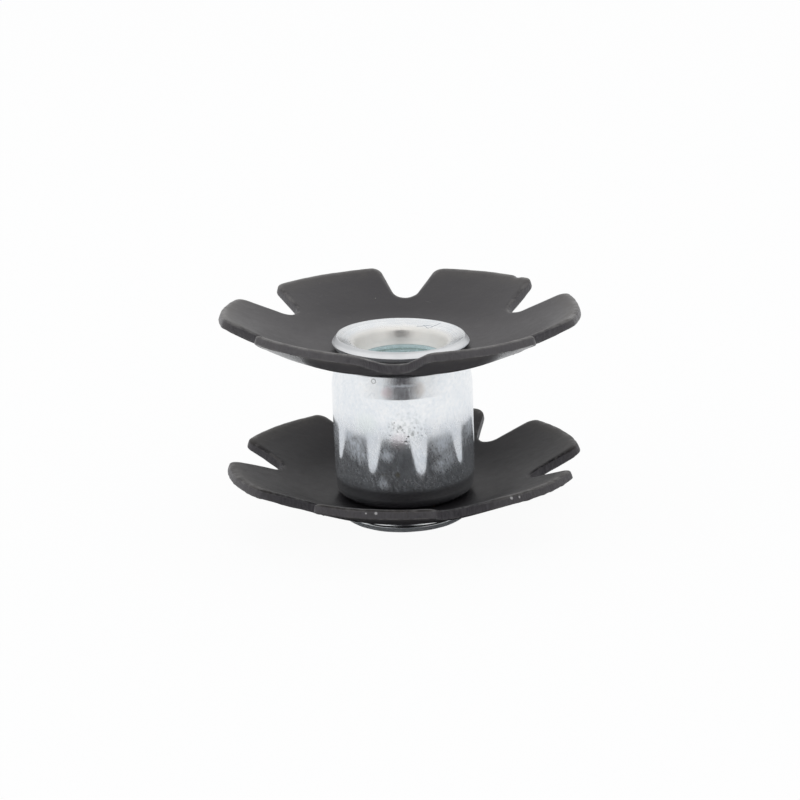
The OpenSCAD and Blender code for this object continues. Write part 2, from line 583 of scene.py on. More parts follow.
class FinishBench(NodeBench):
    """A material with one Principled shader, and coordinates in millimetres."""

    def __init__(self, name: str) -> None:
        """Starts the material and its coordinates.

        Args:
            name: Name of the material.
        """
        self.material = bpy.data.materials.new(name)
        self.material.use_nodes = True
        super().__init__(self.material.node_tree)
        self.shader = self.tree.nodes["Principled BSDF"]
        mapping = self.wire(self.node("ShaderNodeMapping"),
                            Vector=self.node("ShaderNodeTexCoord").outputs["Object"],
                            Scale=(1.0 / MM, 1.0 / MM, 1.0 / MM))
        self.place = mapping.outputs[0]

    def feed(self, **values: object) -> None:
        """Feeds the shader's sockets or sets them; _ stands for a space."""
        self.wire(self.shader, **values)

    def use(self, group: bpy.types.NodeTree, **values: object) -> Socket:
        """Places a shared group.

        Args:
            group: The group to place.
            values: A socket or number for each input; _ stands for a space. Its
                vector is the place in millimetres if nothing else is given.

        Returns:
            The group's first output.
        """
        node = self.node("ShaderNodeGroup", node_tree=group)
        return self.wire(node, **{"Vector": self.place, **values}).outputs[0]

    def attribute(self, name: str) -> Socket:
        """Reads a piece's named number."""
        return self.node("ShaderNodeAttribute", attribute_name=name).outputs["Fac"]

    def mark(self, centre: Place, reach: float, fade: float = 0.5) -> Socket:
        """Masks a ragged spot around a place.

        Args:
            centre: Middle of the spot, in millimetres.
            reach: Radius of the spot, in millimetres.
            fade: Share of the radius over which the spot fades out.

        Returns:
            The mask, 1 in the spot.
        """
        ragged = self.warp(self.place, reach * 1.2, reach * 0.7)
        far = self.vector_math("DISTANCE", ragged, centre)
        return self.remap(far, reach, reach * (1.0 - fade))

    def bumps(self, *layers: tuple[Socket, float, float]) -> None:
        """Stacks bump layers and feeds the shader's normal.

        Args:
            layers: For each layer its height, its depth in millimetres, and
                its strength.
        """
        normal = None
        for height, depth, strength in layers:
            bump = self.wire(self.node("ShaderNodeBump"), Strength=strength,
                             Distance=depth * MM, Height=height)
            if normal is not None:
                self.join(normal, bump.inputs["Normal"])
            normal = bump.outputs["Normal"]
        self.feed(Normal=normal)


@dataclass(frozen=True)
class BlackSpringSteel:
    """Dull black coat on spring steel, rubbed along its edges.

    The tip share pales the coat towards the petals' tips as painted light.
    Chips are rusty, and glints are small specks of uncoated metal painted
    bright as highlights; each has its middle and its radius in millimetres.
    """

    coat: Colour = (0.0280, 0.0250, 0.0290)
    # Paler coat for the mottling, and for painted light on the petals' tips.
    pale_and_lit_coat: Colour = (0.044, 0.040, 0.041)
    # Colour of the cut faces: partly their own sheared tone, partly painted light.
    lit_cut_face: Colour = (0.082, 0.077, 0.082)
    rubbed: Colour = (0.125, 0.118, 0.114)
    # Warm, lighter colour near the tips: partly worn coat, partly a painted highlight on the
    # rolled tips.
    worn_and_lit_tip: Colour = (0.105, 0.094, 0.080)
    dust: Colour = (0.42, 0.40, 0.36)
    rust: Colour = (0.30, 0.20, 0.10)
    # Glints: small specks of uncoated metal painted bright as highlights.
    glint_highlight: Colour = (0.42, 0.41, 0.40)
    roughness: float = 0.37
    side_roughness: float = 0.22
    shielded_roughness: float = 0.90
    shielded_x: Band = (4.6, 6.7)
    shine: float = 0.40
    edge_wear: float = 0.7
    painted_tip_light: float = 0.0
    chips: tuple[Spot, ...] = ()
    glints: tuple[Spot, ...] = ()

    def build(self, name: str, shelf: GroupShelf) -> bpy.types.Material:
        """Builds the material.

        Args:
            name: Name of the material.
            shelf: The shared groups.

        Returns:
            The material.
        """
        b = FinishBench(name)
        tip, cut = b.attribute("tip"), b.attribute("cut")
        clouds = b.use(shelf.mottling, Cloud_Size=3.5, Contrast=1.6)
        small = b.use(shelf.mottling, Cloud_Size=0.7, Contrast=1.4)
        # The tip share pales the coat towards the tips as painted light.
        shade = b.plus(b.times(clouds, 0.6), b.times(small, 0.4), b.times(tip, self.painted_tip_light))
        near_tip = b.remap(tip, 0.55, 1.0, smooth=True)
        torn = b.noise(self.cut_lines(b), 1.0, 3.0, 0.6)
        edge = b.use(shelf.rubbed_edge, Edge=b.attribute("edge"), Patch_Size=0.9,
                     Wear=self.edge_wear)
        scratches = b.most(
            b.use(shelf.hairlines, Turn=0.5, Length=2.2, Width=0.022, Share=0.10),
            b.use(shelf.hairlines, Turn=2.1, Length=1.4, Width=0.018, Share=0.10))
        worn = b.most(b.times(edge, 0.85), b.times(scratches, 0.3))
        dust = b.use(shelf.specks, Spacing=0.9, Speck_Size=0.04, Share=0.22)
        colour = b.tint(shade, self.coat, self.pale_and_lit_coat)
        # Near the tips the coat turns warm and lighter: partly wear, partly a painted highlight.
        for mask, tone in ((b.times(near_tip, small, 0.6), self.worn_and_lit_tip),
                           # The cut faces' lighter colour is partly their own tone and partly
                           # painted light.
                           (b.times(cut, b.remap(torn, 0.25, 0.7, 0.35, 1.0)), self.lit_cut_face),
                           (worn, self.rubbed), (b.times(dust, 0.55), self.dust)):
            colour = b.tint(mask, colour, tone)
        # Chips are rusty; glints are painted highlights on small uncoated specks.
        for spots, tone in ((self.chips, self.rust), (self.glints, self.glint_highlight)):
            for x, y, z, reach in spots:
                colour = b.tint(b.mark((x, y, z), reach), colour, tone)
        rough = b.plus(self.roughness, b.times(b.minus(small, 0.5), 0.14))
        rough = b.minus(rough, b.times(worn, 0.12))
        below = b.remap(b.off_middle(b.place), *self.shielded_x, self.shielded_roughness,
                        self.side_roughness)
        b.feed(Base_Color=colour, Roughness=b.blend(b.attribute("under"), rough, below),
               Metallic=0.0, Specular_IOR_Level=self.shine)
        grain = b.use(shelf.grain, Grain_Size=0.09)
        broad = b.use(shelf.grain, Grain_Size=0.8)
        b.bumps((broad, 0.03, 0.6), (grain, 0.010, 0.6), (b.times(torn, cut), 0.05, 0.7),
                (scratches, 0.008, 0.5))
        return b.material

    @staticmethod
    def cut_lines(b: FinishBench) -> Socket:
        """Coordinates that draw a cut face's tear lines across the sheet."""
        x, y, z = b.split(b.place)
        return b.combine(b.times(x, 7.0), b.times(y, 7.0), b.times(z, 1.2))


@dataclass(frozen=True)
class Stain:
    """A ragged stain: its middle and radius in millimetres, its colour and strength."""

    place: Place
    reach: float
    colour: Colour
    strength: float

    def mask(self, b: FinishBench) -> Socket:
        """Masks the stain by its strength."""
        return b.times(b.mark(self.place, self.reach, 0.6), self.strength)


@dataclass(frozen=True)
class Scratch:
    """A straight scratch from one place to another, with its width and colour."""

    start: Place
    end: Place
    width: float
    colour: Colour

    def mask(self, b: FinishBench) -> Socket:
        """Masks the scratch, a little ragged and broken along its length.

        Args:
            b: The material's bench.

        Returns:
            The mask, 1 in the scratch.
        """
        run = Vector(self.end) - Vector(self.start)
        ragged = b.warp(b.place, 0.25, self.width * 2.0)
        ahead = b.vector_math("SUBTRACT", ragged, self.start)
        share = b.over(b.vector_math("DOT_PRODUCT", ahead, tuple(run)), run.length_squared)
        share = b.least(b.most(share, 0.0), 1.0)
        along = b.vector_math("MULTIPLY", b.combine(share, share, share), tuple(run))
        far = b.vector_math("DISTANCE", ahead, along)
        broken = b.remap(b.noise(b.place, 5.0), 0.35, 0.55, 0.35, 1.0)
        return b.times(b.remap(far, self.width, self.width * 0.3), broken)


@dataclass(frozen=True)
class Zone:
    """A turned zone, by the bands of radius and height in which its mask rises."""

    r: Band
    z: Band

    def mask(self, b: FinishBench, r: Socket, z: Socket) -> Socket:
        """Masks the zone."""
        return b.times(b.remap(r, *self.r), b.remap(z, *self.z))


@dataclass(frozen=True)
class ZincPlate:
    """Bright bluish zinc, veiled in clouds on the body and turned on the flares.

    Places, bands and zones are in millimetres. Each veiled spot has its middle
    and its radius.
    """

    bright: Colour = (0.955, 0.96, 0.96)
    dull: Colour = (0.70, 0.76, 0.82)
    veil_colour: Colour = (0.77, 0.81, 0.865)
    ring_colour: Colour = (0.60, 0.61, 0.62)
    # Darker colour of the lip's slanted crest: painted shade.
    shaded_crest_colour: Colour = (0.66, 0.67, 0.68)
    lip_colour: Colour = (0.90, 0.91, 0.92)
    smudge: Colour = (0.58, 0.61, 0.59)
    # Painted shade in the mouth: shading bands and a shadow line at the thread's first turn.
    groove_shade: Colour = (0.34, 0.40, 0.34)
    pit: Colour = (0.24, 0.25, 0.24)
    teal: Colour = (0.83, 0.97, 0.98)
    beige: Colour = (0.82, 0.79, 0.74)
    polish: float = 0.10
    swaged_polish: float = 0.20
    flare_z: Band = (12.3, 12.45)
    crest_z: Band = (13.14, 13.26)
    hollow: Zone = Zone((3.2, 3.1), (11.87, 11.81))
    throat: Zone = Zone((3.85, 3.4), (11.81, 11.87))
    lip: Zone = Zone((4.50, 4.58), (12.88, 12.93))
    undercut: Zone = Zone((4.3, 4.4), (12.93, 12.88))
    first_groove_z: float = 11.50
    scuff_z: float = 10.90
    scuff_place: Place = (-0.1, -4.9, 10.97)
    shaded_place: Place = (-0.1, -5.04, 10.6)
    brushed_place: Place = (-0.1, -5.04, 10.4)
    pitted_place: Place = (0.35, -5.03, 7.75)
    ring_mark: Place = (-1.98, -4.42, 11.265)
    veiled: tuple[Spot, ...] = (
        (-3.45, -3.70, 6.1, 1.05), (-3.10, -3.98, 5.7, 0.75), (2.70, -4.26, 6.4, 1.0),
        (3.10, -3.98, 5.4, 1.0), (2.55, -4.36, 4.9, 0.8), (-1.25, -4.89, 5.9, 0.65),
        (-3.9, -3.2, 7.0, 0.7), (-1.6, -4.8, 3.9, 0.6), (4.72, -1.8, 7.0, 0.9),
        (0.3, 5.04, 5.5, 1.6), (-4.9, 1.2, 5.0, 1.4), (4.2, 2.8, 5.2, 1.5))
    scratches: tuple[Scratch, ...] = (
        Scratch((1.22, 3.41, 13.00), (2.31, 3.23, 13.10), 0.05, (0.22, 0.25, 0.30)),
        Scratch((1.73, 3.40, 13.06), (2.01, 2.95, 12.96), 0.04, (0.30, 0.34, 0.38)),
        Scratch((2.01, 2.95, 12.96), (2.97, 3.21, 13.24), 0.05, (0.22, 0.25, 0.30)),
        Scratch((-2.05, -4.61, 4.59), (-1.08, -4.93, 4.37), 0.07, (0.92, 0.92, 0.90)),
        Scratch((-2.53, -4.37, 3.22), (-1.75, -4.74, 3.21), 0.08, (0.90, 0.92, 0.94)))
    stains: tuple[Stain, ...] = (
        Stain((-0.43, -5.03, 6.92), 0.80, (0.88, 0.76, 0.79), 0.40),
        Stain((-1.05, -4.85, 10.50), 0.55, (0.72, 0.55, 0.57), 0.45),
        Stain((1.20, -4.85, 10.65), 0.60, (0.60, 0.53, 0.48), 0.45),
        Stain((-0.51, -5.02, 4.53), 0.22, (0.50, 0.44, 0.22), 0.6),
        Stain((1.55, 2.45, 12.35), 0.20, (0.40, 0.28, 0.12), 0.8),
        Stain((-2.6, -4.3, 8.2), 1.1, (0.80, 0.86, 0.84), 0.5))

    def build(self, name: str, shelf: GroupShelf) -> bpy.types.Material:
        """Builds the material.

        Args:
            name: Name of the material.
            shelf: The shared groups.

        Returns:
            The material.
        """
        b = FinishBench(name)
        z, r, off_middle = b.split(b.place)[2], b.off_axis(b.place), b.off_middle(b.place)
        flare = b.remap(z, *self.flare_z)
        hollow, throat, lip, undercut = (
            zone.mask(b, r, z) for zone in (self.hollow, self.throat, self.lip, self.undercut))
        undercut = b.times(undercut, flare)
        veil = self.veil(b, shelf, z, off_middle)
        clouds = b.use(shelf.mottling, Cloud_Size=1.3, Stretch=1.3, Contrast=3.2)
        blots = b.use(shelf.mottling, Cloud_Size=0.25, Stretch=1.1, Contrast=3.2)
        cloudy = b.plus(b.times(clouds, 0.5), b.times(blots, 0.5))
        turned = b.noise(b.combine(b.times(r, 14.0), 0.0, b.times(z, 9.0)), 1.0, 2.0, 0.6)
        ringed = b.times(b.remap(turned, 0.3, 0.75), flare)
        pits = b.times(self.pitting(b, shelf), b.minus(1.0, hollow))
        smudges = b.times(b.mark(self.pitted_place, 1.6, 0.8), b.remap(blots, 0.45, 0.9))
        # The lip darkens towards its crest as painted shade, with turned rings over it.
        crest = b.tint(b.remap(z, *self.crest_z), self.lip_colour, self.shaded_crest_colour)
        crest = b.tint(b.times(ringed, 0.25), crest, self.ring_colour)
        colour = b.tint(b.times(cloudy, 0.65), self.bright, self.dull)
        for mask, share, tone in ((ringed, 0.7, self.ring_colour), (lip, 0.9, crest),
                                  (throat, 0.80, self.beige), (hollow, 0.9, self.teal),
                                  (hollow, self.painted_groove_shade(b, z), self.groove_shade),
                                  (smudges, 0.8, self.smudge), (veil, 1.0, self.veil_colour)):
            colour = b.tint(b.times(mask, share), colour, tone)
        for stain in self.stains:
            colour = b.tint(stain.mask(b), colour, stain.colour)
        colour = b.tint(b.times(pits, 0.85), colour, self.pit)
        for scratch in self.scratches:
            colour = b.tint(scratch.mask(b), colour, scratch.colour)
        worn = b.most(b.remap(off_middle, 0.8, 2.0, 0.15, 0.55),
                      b.remap(z, 12.45, 12.20, 0.15, 0.75))
        matt = b.most(*(b.times(mask, share) for mask, share in (
            (veil, 0.85), (hollow, 0.85), (lip, 0.30), (undercut, 0.95), (throat, worn))))
        brushed = b.times(b.mark(self.brushed_place, 1.9, 0.7), blots)
        rough = b.plus(self.polish, b.times(veil, 0.10), b.times(brushed, 0.09))
        rough = b.blend(b.most(flare, hollow, throat), rough,
                        b.plus(self.swaged_polish, b.times(cloudy, 0.12)))
        rough = b.plus(rough, b.times(lip, 0.08), b.times(throat, 0.08))
        b.feed(Base_Color=colour, Metallic=b.minus(1.0, matt), Roughness=rough)
        scratches = b.use(shelf.hairlines, Turn=1.2, Length=1.6, Width=0.02, Share=0.12)
        b.bumps((clouds, 0.010, 0.22), (blots, 0.0006, 0.2), (b.times(turned, flare), 0.010, 0.6),
                (pits, -0.02, 0.6), (scratches, -0.004, 0.4))
        return b.material

    def painted_groove_shade(self, b: FinishBench, z: Socket) -> Socket:
        """Masks painted shade inside the mouth: bands of shading up its height and a painted
        shadow line at the first thread turn, as a share of darkness.

        Args:
            b: The material's bench.
            z: Height above the bottom rim, in millimetres.

        Returns:
            The share of darkness, from 0 to 1.
        """
        bands = b.noise(b.combine(0.0, 0.0, b.times(z, 9.0)), 1.0, 2.0, 0.6)
        first = b.math("ABSOLUTE", b.minus(z, self.first_groove_z))
        return b.most(b.times(b.remap(bands, 0.45, 0.75), 0.30),
                      b.times(b.remap(first, 0.12, 0.04), 0.6))

    def veil(self, b: FinishBench, shelf: GroupShelf, z: Socket, off_middle: Socket) -> Socket:
        """Masks the pale veil on the body, which breaks up into slanting strokes.

        Args:
            b: The material's bench.
            shelf: The shared groups.
            z: Height above the bottom rim, in millimetres.
            off_middle: Distance to either side of the middle plane, in millimetres.

        Returns:
            The mask, 1 where the veil hides the polish.
        """
        tilt = b.wire(b.node("ShaderNodeVectorRotate", rotation_type="Y_AXIS"),
                      Vector=b.place, Angle=0.35)
        patches = b.most(*(b.mark(spot[:3], spot[3], 0.8) for spot in self.veiled))
        strokes = b.use(shelf.mottling, Vector=tilt.outputs[0], Cloud_Size=0.16, Stretch=3.8,
                        Contrast=2.8)
        fine = b.use(shelf.mottling, Cloud_Size=0.12, Stretch=1.3, Contrast=2.6)
        broken = b.plus(b.times(strokes, 0.6), b.times(fine, 0.4))
        cloudy = b.times(patches, b.plus(b.times(broken, 1.3), 0.10))
        thin = b.times(b.plus(b.times(broken, 0.36), 0.04),
                       b.remap(z, 5.6, 4.6, 0.5, 1.0, smooth=True))
        fade = b.times(b.remap(z, 4.5, 7.2, 0.0, 0.54, smooth=True),
                       b.plus(b.times(broken, 0.7), 0.35),
                       b.remap(off_middle, 0.7, 1.9, 0.35, 1.0))
        veil = b.times(b.plus(b.times(cloudy, 0.65), b.plus(thin, fade)),
                       b.remap(z, 3.0, 3.5, smooth=True),
                       b.remap(z, 8.8, 6.9, 0.12, 1.0, smooth=True))
        off_scuff = b.math("ABSOLUTE", b.minus(z, b.plus(b.times(fine, 0.12), self.scuff_z)))
        scuff = b.times(b.remap(off_scuff, 0.15, 0.04), b.mark(self.scuff_place, 1.5))
        shaded = b.times(b.mark(self.shaded_place, 1.6, 0.7), broken)
        veil = b.most(veil, b.times(scuff, 0.60), b.times(shaded, 0.24))
        return b.times(b.least(veil, 1.0), b.remap(z, 12.0, 11.8))

    def pitting(self, b: FinishBench, shelf: GroupShelf) -> Socket:
        """Masks pits, a dense patch of them, and a ring mark.

        Args:
            b: The material's bench.
            shelf: The shared groups.

        Returns:
            The mask, 1 in a pit.
        """
        few = b.use(shelf.specks, Spacing=0.6, Speck_Size=0.04, Share=0.16)
        dense = b.use(shelf.specks, Spacing=0.28, Speck_Size=0.13, Share=0.75)
        dense = b.times(dense, b.mark(self.pitted_place, 1.7, 0.8), 0.65)
        far = b.vector_math("DISTANCE", b.place, self.ring_mark)
        ring = b.times(b.remap(far, 0.10, 0.14), b.remap(far, 0.22, 0.17), 0.7)
        return b.most(few, dense, ring)


# ----------------------------------------------------------------------- pieces


def new_piece(name: str, points: np.ndarray, faces: list[tuple[int, ...]]) -> bpy.types.Object:
    """Makes a piece at the origin from points and faces.

    Args:
        name: Name of the piece.
        points: A row of x, y and z for each point, in metres.
        faces: Indices of the corners of each face.

    Returns:
        The object, with smooth faces that point outwards.
    """
    mesh = bpy.data.meshes.new(name)
    mesh.from_pydata(points.tolist(), [], faces)
    work = bmesh.new()
    work.from_mesh(mesh)
    bmesh.ops.recalc_face_normals(work, faces=work.faces)
    work.to_mesh(mesh)
    work.free()
    mesh.polygons.foreach_set("use_smooth", [True] * len(mesh.polygons))
    piece = bpy.data.objects.new(name, mesh)
    bpy.context.scene.collection.objects.link(piece)
    return piece


def looped_faces(rings: int, around: int) -> list[tuple[int, ...]]:
    """Quads between rings that close on themselves, the last joined to the first.

    Args:
        rings: How many rings there are.
        around: How many points each ring has.

    Returns:
        Indices of the corners of each face.
    """
    ring, step = np.meshgrid(np.arange(rings), np.arange(around), indexing="ij")
    near, far = ring * around, (ring + 1) % rings * around
    after = (step + 1) % around
    quads = np.stack([near + step, near + after, far + after, far + step], axis=-1)
    return [tuple(q) for q in quads.reshape(-1, 4).tolist()]


def keep_number(piece: bpy.types.Object, name: str, values: np.ndarray) -> None:
    """Keeps one number for each point of a piece."""
    attribute = piece.data.attributes.new(name, "FLOAT", "POINT")
    attribute.data.foreach_set("value", np.asarray(values, dtype=np.float32).ravel())


def hand_over(piece: bpy.types.Object, slot: Slot, node: str = "") -> None:
    """Attaches a finished piece to its body, hides the node that it replaces, and logs its slot.

    Args:
        piece: The finished piece.
        slot: The record's slot that it takes its finish from; it is only logged.
        node: Name of the CAD node that it replaces, or nothing.
    """
    if node:
        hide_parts(node)
    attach(piece, BODY)
    triangles = sum(len(p.vertices) - 2 for p in piece.data.polygons)
    log.info("%s: %d triangles, slot %s", piece.name, triangles, slot.value)


@dataclass(frozen=True)
class Petal:
    """How one petal departs from the even star.

    Lift and twist are in millimetres at its tip. Spread widens it and swing
    turns it, both in degrees at its tip.
    """

    lift: float
    twist: float
    spread: float = 0.0
    swing: float = 0.0


@dataclass(frozen=True)
class Dent:
    """A soft rise or dip of the sheet: an angle in degrees, lengths in millimetres."""

    angle: float
    radius: float
    rise: float
    reach: float


@dataclass(frozen=True)
class Nick:
    """A small dent in a star's outline.

    Angles are in degrees about the axis, and lengths in millimetres.
    """

    angle: float
    depth: float
    width: float


@dataclass
class StarWasher:
    """One dished star washer, blanked from sheet and pressed.

    The outline is laid out at the middle of the sheet. Lengths are in
    millimetres and angles in degrees.
    """

    name: str
    hub_z: float
    turn: float
    lean_about_x: float
    lean_about_y: float
    petals: tuple[Petal, ...]
    nicks: tuple[Nick, ...] = ()
    dents: tuple[Dent, ...] = ()
    seed: int = 1
    sheet: float = 0.69
    hole_r: float = 4.05
    hub_r: float = 3.78
    bend_r: float = 10.41
    slope: float = 24.27
    tip_r: float = 12.70
    notch_root: float = 9.242
    notch_root_r: float = 1.14
    notch_half: float = 27.15
    corner_r: float = 0.855
    roll_in: float = 0.30
    roll_down: float = 0.14
    tip_roll: float = 0.8
    burr: float = 0.035
    sheet_wave: float = 0.07
    wave_length: float = 6.0
    lean_fade: float = 2.0
    cut_waver: float = 0.012
    rolled_from: float = 10.2
    rolled_full: float = 12.4
    tip_from: float = 9.0
    face_margin: float = 0.10
    low_margin: float = 0.26
    rings: int = 30

    def half_outline(self) -> np.ndarray:
        """Lays out half a petal's edge.

        Returns:
            Distances from the axis and angles from the notch's line, in
            radians, from the notch's bottom to the middle of the petal.
        """
        half = math.radians(self.notch_half)
        middle = self.notch_root + self.notch_root_r
        turns = np.linspace(0.0, math.pi / 2 - half, 8)
        root = np.stack([middle - self.notch_root_r * np.cos(turns),
                         self.notch_root_r * np.sin(turns)], axis=1)
        along = np.array([math.cos(half), math.sin(half)])
        across = np.array([-math.sin(half), math.cos(half)])
        start = root[-1] + self.corner_r * across
        inner = self.tip_r - self.corner_r
        ahead = float(start @ along)
        reach = -ahead + math.sqrt(ahead * ahead - float(start @ start) + inner * inner)
        centre = start + reach * along
        side = root[-1] + np.linspace(0.0, reach, 9)[1:, None] * along
        corner_end = math.atan2(centre[1], centre[0])
        turns = np.linspace(half - math.pi / 2, corner_end, 10)[1:]
        corner = centre + self.corner_r * np.stack([np.cos(turns), np.sin(turns)], axis=1)
        turns = np.linspace(corner_end, math.pi / len(self.petals), 18)[1:]
        outer = self.tip_r * np.stack([np.cos(turns), np.sin(turns)], axis=1)
        edge = np.vstack([root, side, corner, outer])
        return np.stack([np.hypot(edge[:, 0], edge[:, 1]),
                         np.arctan2(edge[:, 1], edge[:, 0])], axis=1)

    def outline(self) -> np.ndarray:
        """Lays out the whole edge of the flat star, anticlockwise from above.

        Returns:
            A row of x and y for each point, in millimetres.
        """
        half = self.half_outline()
        pitch = 2.0 * math.pi / len(self.petals)
        radii = np.concatenate([half[:-1, 0], half[:0:-1, 0]])
        angles = np.concatenate([half[:-1, 1], pitch - half[:0:-1, 1]]) - pitch / 2
        starts = math.radians(self.turn) + pitch * np.arange(len(self.petals))
        out = np.clip((radii - self.notch_root) / (self.tip_r - self.notch_root), 0.0, 1.0)
        spread = np.array([p.spread for p in self.petals])[:, None]
        swing = np.array([math.radians(p.swing) for p in self.petals])[:, None]
        petals = angles * (1.0 + spread / 20.0 * out) + swing * out
        whole_angles = (starts[:, None] + petals).ravel()
        whole_radii = np.tile(radii, len(self.petals))
        loop = np.stack([whole_radii * np.cos(whole_angles),
                         whole_radii * np.sin(whole_angles)], axis=1)
        dents = self.waver(whole_angles, self.cut_waver)
        for nick in self.nicks:
            away = np.degrees(np.angle(np.exp(1j * (whole_angles - math.radians(nick.angle)))))
            arc = np.radians(away) * whole_radii
            dents = dents + nick.depth * np.exp(-(arc / nick.width) ** 2)
        return loop + self.inward(loop) * dents[:, None]

    def waver(self, angles: np.ndarray, reach: float) -> np.ndarray:
        """Small uneven steps of the cutting edge, for each angle.

        Args:
            angles: Angles about the axis, in radians.
            reach: Size of the steps, in millimetres.

        Returns:
            How far the edge steps in at each angle, in millimetres.
        """
        chance = np.random.default_rng(self.seed)
        total = np.zeros_like(angles)
        for lobes in (11, 23, 37, 61, 97):
            total += np.sin(lobes * angles + chance.uniform(0.0, 2.0 * math.pi))
        return reach * total / 2.5

    @staticmethod
    def inward(loop: np.ndarray) -> np.ndarray:
        """Directions that point into the sheet, for each point of its edge.

        Args:
            loop: A row of x and y for each point.

        Returns:
            A row of length 1 for each point.
        """
        run = np.roll(loop, -1, axis=0) - np.roll(loop, 1, axis=0)
        run /= np.linalg.norm(run, axis=1, keepdims=True)
        return np.stack([-run[:, 1], run[:, 0]], axis=1)

    def edge_rings(self, tips: np.ndarray) -> list[Layer]:
        """Lays out the rings of the cut edge, from the top face to the bottom.

        Args:
            tips: How near each point of the edge is to a tip, from 0 to 1.

        Returns:
            For each ring its distance in from the outline, its height above
            the middle of the sheet, its share of edge wear, and its share of
            cut face.
        """
        top, bottom = self.sheet / 2, np.full_like(tips, -self.sheet / 2)
        inward = self.roll_in * (1.0 + self.tip_roll * tips)
        drop = self.roll_down * (1.0 + self.tip_roll * tips)
        none = np.zeros_like(tips)
        rings = []
        for turn in np.radians([0.0, 18.0, 36.0, 52.0, 66.0, 78.0, 90.0]):
            wear = max(0.0, math.sin(2.0 * (turn - 0.2))) if turn < 1.5 else 0.25
            rings.append((inward * (1.0 - math.sin(turn)), top - drop * (1.0 - math.cos(turn)),
                          wear, 1.0 if turn > 1.2 else 0.0))
        for deep, height, wear, cut in (
                (0.0, top - drop - 0.05, 0.0, 1.0), (0.004, (top - drop + bottom) / 2, 0.0, 1.0),
                (0.016, bottom + 0.10, 0.0, 1.0), (0.022, bottom + 0.045, 0.6, 1.0),
                (0.046, bottom, 1.0, 0.6), (0.100, bottom, 0.6, 0.0), (0.18, bottom, 0.0, 0.0)):
            rings.append((none + deep, height, wear, cut))
        return rings

    def blank(self) -> bpy.types.Object:
        """Makes the flat blank, with what its finish needs kept on its points.

        Returns:
            The blank.
        """
        loop = self.outline()
        inward = self.inward(loop)
        angles = np.arctan2(loop[:, 1], loop[:, 0])
        burrs = self.burr * np.clip(self.waver(angles + 0.7, 1.6), 0.0, 1.0)
        tips = (np.hypot(loop[:, 0], loop[:, 1]) - self.rolled_from) / (
            self.rolled_full - self.rolled_from)
        rings = self.edge_rings(np.clip(tips, 0.0, 1.0))
        top_edge = loop + inward * (rings[0][0][:, None] + self.face_margin)
        low_edge = loop + inward * self.low_margin
        steps = np.linspace(0.0, 1.0, self.rings)
        layers: list[Layer] = []
        level = np.full(len(loop), self.sheet / 2)
        for share in steps:
            layers.append((self.toward(top_edge, share), level, 0.0, 0.0))
        for deep, heights, wear, cut in rings:
            # The burr hangs from the most worn ring.
            heights = heights - burrs if wear == 1.0 else heights
            layers.append((loop + inward * deep[:, None], heights, wear, cut))
        for share in steps[::-1]:
            layers.append((self.toward(low_edge, share), -level, 0.0, 0.0))
        plan = np.vstack([layer[0] for layer in layers])
        height = np.concatenate([layer[1] for layer in layers])
        points = np.column_stack([plan, height]) * MM
        piece = new_piece(self.name, points, looped_faces(len(layers), len(loop)))
        under = np.arange(len(layers)) >= len(layers) - self.rings - 1
        for key, values in (("edge", [layer[2] for layer in layers]),
                            ("cut", [layer[3] for layer in layers]), ("under", under)):
            keep_number(piece, key, np.repeat(values, len(loop)))
        out = np.hypot(plan[:, 0], plan[:, 1]) - self.tip_from
        keep_number(piece, "tip", np.clip(out / (self.tip_r - self.tip_from), 0.0, 1.0))
        keep_number(piece, "lift", self.lifts(plan) * MM)
        return piece

    def toward(self, edge: np.ndarray, share: float) -> np.ndarray:
        """Points a share of the way from the hole to an edge, ray by ray.

        Args:
            edge: A row of x and y for each point of the edge.
            share: 0 at the hole and 1 at the edge.

        Returns:
            A row of x and y for each point.
        """
        radii = np.linalg.norm(edge, axis=1, keepdims=True)
        hole = edge * (self.hole_r / radii)
        return hole + (edge - hole) * share

    def lifts(self, plan: np.ndarray) -> np.ndarray:
        """How far each point of the blank rises with its petal, in millimetres.

        Args:
            plan: A row of x and y for each point, in millimetres.

        Returns:
            The rise of each point.
        """
        pitch = 360.0 / len(self.petals)
        radii = np.hypot(plan[:, 0], plan[:, 1])
        angles = np.degrees(np.arctan2(plan[:, 1], plan[:, 0])) - self.turn
        which = np.round(angles / pitch).astype(int)
        off_centre = angles - which * pitch
        which = which % len(self.petals)
        lift = np.array([p.lift for p in self.petals])[which]
        twist = np.array([p.twist for p in self.petals])[which]
        out = np.clip((radii - self.notch_root) / (self.tip_r - self.notch_root), 0.0, 1.2)
        rise = (lift + twist * off_centre / 20.0) * out ** 1.5
        for dent in self.dents:
            turn = math.radians(dent.angle)
            away = np.hypot(plan[:, 0] - dent.radius * math.cos(turn),
                            plan[:, 1] - dent.radius * math.sin(turn))
            rise = rise + dent.rise * np.exp(-(away / dent.reach) ** 2)
        return rise

    def build(self, press: PressTree, material: bpy.types.Material) -> bpy.types.Object:
        """Blanks and presses the washer.

        Args:
            press: The tree that presses the blank.
            material: The washer's finish.

        Returns:
            The finished piece.
        """
        return press.shape(self.blank(), {
            "Material": material,
            "Hub Radius": self.hub_r * MM,
            "Bend Radius": self.bend_r * MM,
            "Slope": math.radians(self.slope),
            "Hub Height": self.hub_z * MM,
            "Lean X": -math.sin(math.radians(self.lean_about_y)),
            "Lean Y": math.sin(math.radians(self.lean_about_x)),
            "Lean Fade": self.lean_fade * MM,
            "Sheet Wave": self.sheet_wave * MM,
            "Wave Length": self.wave_length * MM,
        })


@dataclass(frozen=True)
class Corner:
    """A corner of a turned section, with the radius that rounds it."""

    r: float
    z: float
    round: float = 0.0


